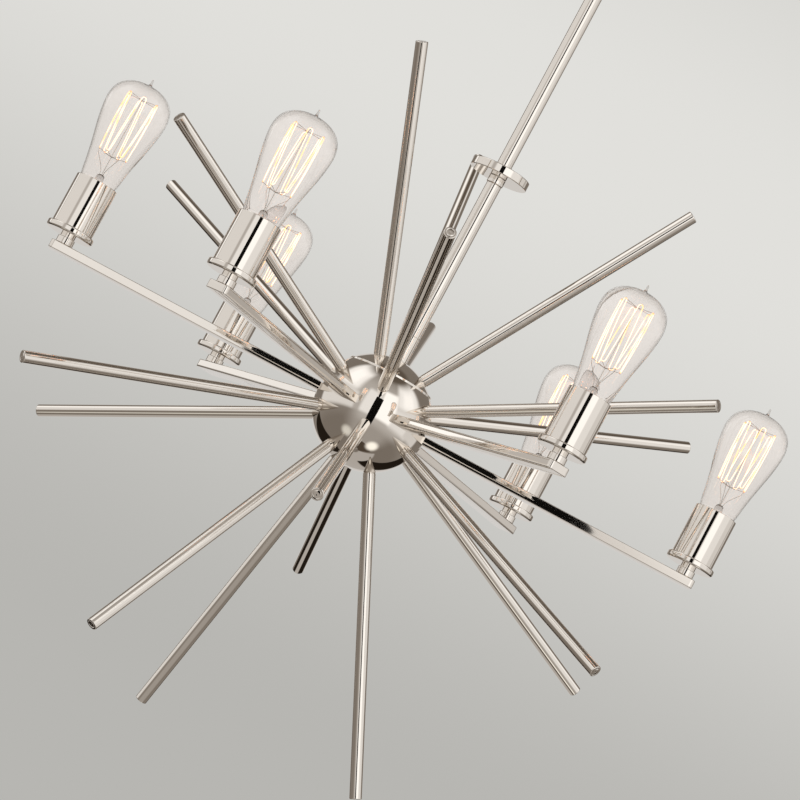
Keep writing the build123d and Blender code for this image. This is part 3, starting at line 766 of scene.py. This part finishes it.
def bevel(piece, offset, segments, wanted):
    """Rounds the edges whose two ends pass a test."""
    choose(piece)
    bpy.ops.object.mode_set(mode="EDIT")
    bpy.ops.mesh.select_mode(type="EDGE")
    bpy.ops.mesh.select_all(action="DESELECT")
    bpy.ops.object.mode_set(mode="OBJECT")
    points = [vertex.co for vertex in piece.data.vertices]
    for edge in piece.data.edges:
        edge.select = wanted(*[points[end] for end in edge.vertices])
    bpy.ops.object.mode_set(mode="EDIT")
    bpy.ops.mesh.bevel(offset=offset, segments=segments, affect="EDGES")
    bpy.ops.object.mode_set(mode="OBJECT")


def face_outwards(piece):
    """Turns a piece's faces outwards."""
    choose(piece)
    bpy.ops.object.mode_set(mode="EDIT")
    bpy.ops.mesh.select_all(action="SELECT")
    bpy.ops.mesh.normals_make_consistent(inside=False)
    bpy.ops.object.mode_set(mode="OBJECT")


def make_spacer():
    """Neck under the cup, with an undercut foot and a narrower top."""
    rim, foot, top = 9.2, ARM_TOP, CUP_FOOT
    undercut, neck = rim - 0.9, rim - 1.5
    outline = [
        (PIPE_HOLE, foot), (undercut, foot), (undercut, foot + 0.5), (rim - 0.3, foot + 0.6),
        (rim, foot + 0.9), *high_edge(rim, top - 3.2, 0.4, 3), (neck, top - 3.2), (neck, top),
        (PIPE_HOLE, top), (PIPE_HOLE, foot),
    ]
    return turned("spacer", outline, steps=64)


def make_cup():
    """Turned cup: flange with rounded edges, plain wall with a rolled rim, and a floor."""
    flange, outer, inner = 25.5, 22.25, 21.05
    foot, ledge, top = CUP_FOOT, CUP_FOOT + FLANGE_HEIGHT, CUP_FOOT + CUP_HEIGHT
    floor, corner, fillet, roll = foot + 2.5, 1.0, 0.4, 0.6
    outline = [
        (PIPE_HOLE, foot), *low_edge(flange, foot, 2.5, 8), *high_edge(flange, ledge, 1.4, 5),
        *arc((outer + fillet, ledge + fillet), fillet, -90, -180, 3),
        *arc((outer - roll, top - roll), roll, 0, 180, 8),
        *arc((inner - corner, floor + corner), corner, 0, -90, 3), (PIPE_HOLE, floor), (PIPE_HOLE, foot),
    ]
    return turned("cup_turned", outline, steps=128)


def make_glass():
    """Blown bulb: outside skin with its tip and open mount, inside skin round the mount."""
    outside = on_cap(GLASS_FOOT + GLASS_SIDE + GLASS_TIP)
    thicker = 0.6       # how much thicker the wall is at the dome
    wall = [
        (radius - GLASS_WALL, height - min(1, k / 20) * thicker)
        for k, (radius, height) in enumerate(GLASS_SIDE)
    ]
    inside = on_cap(MOUNT_SKIN + wall + DOME_SKIN)
    return turned("glass", outside, inside, steps=112, straights=False)


def make_bulb_cap():
    """Screw cap: plain collar, rolled thread, insulating cone and soldered contact."""
    body = turned("cap_body", on_cap(CAP_SIDE), steps=72)
    rib = [(radius, 0, height) for radius, height in on_cap(THREAD_TURN)]
    thread = edit_vertex("cap_thread", rib[0])
    draw_line(rib)
    bpy.ops.object.mode_set(mode="OBJECT")
    bpy.ops.object.modifier_add(type="SCREW")
    screw = thread.modifiers[-1]
    screw.angle, screw.screw_offset, screw.iterations = 2 * pi, THREAD_PITCH * MM, THREAD_COUNT
    screw.steps = screw.render_steps = 72
    screw.use_merge_vertices, screw.merge_threshold = True, MERGE
    bpy.ops.object.modifier_apply(modifier=screw.name)
    face_outwards(thread)
    smooth(thread, 60)
    return joined("bulb_cap_body", [body, thread])


def wire(name, lines, thickness, resolution):
    """Round wire drawn along lines of points. Points and thickness are in millimetres."""
    strands = []
    for number, points in enumerate(lines):
        strand = edit_vertex(f"{name}_{number}", points[0])
        draw_line(points)
        bpy.ops.object.mode_set(mode="OBJECT")
        strands.append(strand)
    piece = joined(name, strands)
    choose(piece)
    bpy.ops.object.convert(target="CURVE")
    piece.data.bevel_depth = thickness * MM / 2
    piece.data.bevel_resolution = resolution
    piece.data.use_fill_caps = True
    bpy.ops.object.convert(target="MESH")
    smooth(piece, 60)
    return piece


def hook_point(place, step, aside=0.0, out=0.0, rise=0.0):
    """Point at a hook of the cage: aside along the ring, out from the axis and up from the hook."""
    angle = 2 * pi * step / HOOK_COUNT + HOOK_TURN
    radius = place[0] + out
    return (
        radius * cos(angle) - aside * sin(angle), radius * sin(angle) + aside * cos(angle), place[1] + rise,
    )


def make_strands():
    """Squirrel cage: one strand that runs up and down, round the foot and the head hooks in turn."""
    path = []
    for k in range(HOOK_COUNT):
        for place, step, way in ((FOOT_HOOKS, k, -1), (HEAD_HOOKS, k + 0.5, 1)):
            path += [hook_point(place, step, aside, rise=rise * way) for aside, rise in HOOK_BEND]
    bowed = []
    for number, point in enumerate(path, start=1):
        bowed.append(point)
        if number % len(HOOK_BEND) == 0:
            start, end = Vector(point), Vector(path[number % len(path)])
            for share in (0.25, 0.5, 0.75):
                middle = start.lerp(end, share)
                outward = Vector((middle.x, middle.y, 0)).normalized()
                bowed.append(tuple(middle + outward * STRAND_BOW * sin(pi * share)))
    return wire("strands", [bowed + [bowed[0]]], STRAND_WIRE, 2)


def make_supports():
    """Centre post with a spider of hooks at its head and foot, and the leads from the mount."""
    foot_level, head_level = FOOT_HOOKS[1], HEAD_HOOKS[1]
    post_top, foot_boss = (0, 0, head_level - 1.5), (0, 0, foot_level - 3)
    lines = [[(0, 0, MOUNT_TOP - 1), post_top]]
    for k in range(HOOK_COUNT):
        lines.append([
            post_top, hook_point((SPIDER_RADIUS, head_level - 0.8), k + 0.5),
            hook_point(HEAD_HOOKS, k + 0.5, out=-0.5, rise=-0.4),
            hook_point(HEAD_HOOKS, k + 0.5, out=0.6, rise=0.8),
        ])
        lines.append([
            foot_boss, hook_point((SPIDER_RADIUS, foot_level - 1.6), k),
            hook_point(FOOT_HOOKS, k, out=-0.4, rise=-0.4), hook_point(FOOT_HOOKS, k, out=0.6, rise=-1.0),
        ])
    for k in LEADS:
        lines.append([
            hook_point((2.2, MOUNT_TOP - 2), k), hook_point((2.8, MOUNT_TOP + 3), k),
            hook_point((5.5, MOUNT_TOP + 8), k), hook_point(FOOT_HOOKS, k, out=-1.0, rise=-4.5),
            hook_point(FOOT_HOOKS, k, out=-0.2, rise=-0.8),
        ])
    return wire("supports", lines, SUPPORT_WIRE, 1)


# ---- Assembly -------------------------------------------------------------------------------------

def finish_cad_nodes(finishes):
    """Finishes of the CAD nodes that stay in view."""
    kept = {
        "zinc": ("mounting_strap", "ceiling_nipple", "disc_nipple", "hub_tie", "arm_carrier", "hub_nut",
                 "arm_screws", "lamp_nipples"),
        "nickel": ("swivel_yoke", "swivel_pin", "swivel_tongue"),
        "ceramic": tuple(f"lampholder_{k}" for k in range(1, LAMP_COUNT + 1)),
    }
    for finish, names in kept.items():
        for name in names:
            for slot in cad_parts[name].material_slots:
                slot.material = finishes[finish]


def build(finishes):
    """All pieces of the chandelier, each on its body and in place of its CAD node."""
    nickel = finishes["nickel"]
    keep(make_canopy(), nickel, "ceiling_fixing", "canopy")
    keep(make_ring(), nickel, "ceiling_fixing", "canopy_ring")
    frame_pieces = {
        "upper_stem": make_tube("upper_stem_tube", "upper_stem"),
        "lower_stem": make_tube("lower_stem_tube", "lower_stem"),
        "stem_disc": make_disc(),
        "stem_base": make_base(),
    }
    frame_pieces["hub_shell"], frame_pieces["hub_cap"] = make_hub()
    for node, piece in frame_pieces.items():
        keep(piece, nickel, "hanging_frame", node)
    tiers = {
        "upper_rods": (UPPER_REACH, UPPER_RODS), "top_rods": (UPPER_REACH, TOP_RODS),
        "lower_rods": (LOWER_REACH, LOWER_RODS), "bottom_rods": (LOWER_REACH, BOTTOM_RODS),
    }
    for node, (reach, directions) in tiers.items():
        for piece in make_rods(node, reach, directions):
            keep(piece, nickel, "hanging_frame", node)

    arm = make_arm()
    lamp_models = {
        "spacer": (make_spacer(), "nickel", "nickel", "neck_spacers"),
        "cup": (make_cup(), "nickel", "nickel", "cup_{}"),
        "glass": (make_glass(), "glass", "clear_glass", "bulb_glass_{}"),
        "bulb_cap": (make_bulb_cap(), "brass", "bulb_cap", "bulb_cap_{}"),
        "strands": (make_strands(), "glow", "filament", "filament_{}"),
        "supports": (make_supports(), "wire", "filament", "filament_{}"),
    }
    for number in range(LAMP_COUNT):
        label = number + 1
        bar = placed(arm, f"arm_bar_{label}", arm_place(number))
        keep(bar, nickel, "hanging_frame", f"arm_{label}")
        for kind, (model, finish, slot, node) in lamp_models.items():
            piece = placed(model, f"lamp_{kind}_{label}", lamp_place(number))
            body = "hanging_frame" if kind in ("spacer", "cup") else f"bulb_{label}"
            keep(piece, finishes[finish], body, node.format(label))
    for model in (arm, *[entry[0] for entry in lamp_models.values()]):
        bpy.data.objects.remove(model)
    finish_cad_nodes(finishes)


finishes = {
    "nickel": polished_nickel(),
    "zinc": zinc_steel(),
    "ceramic": glazed_ceramic(),
    "brass": bulb_brass(),
    "glass": clear_glass(),
    "glow": glowing_filament(),
    "wire": support_wire(),
    "floor": floor_paper(),
    "card": card_black(),
}
set_camera()
studio_world()
stage_pieces(finishes)
build(finishes)
bpy.context.scene.view_settings.view_transform = "Standard"
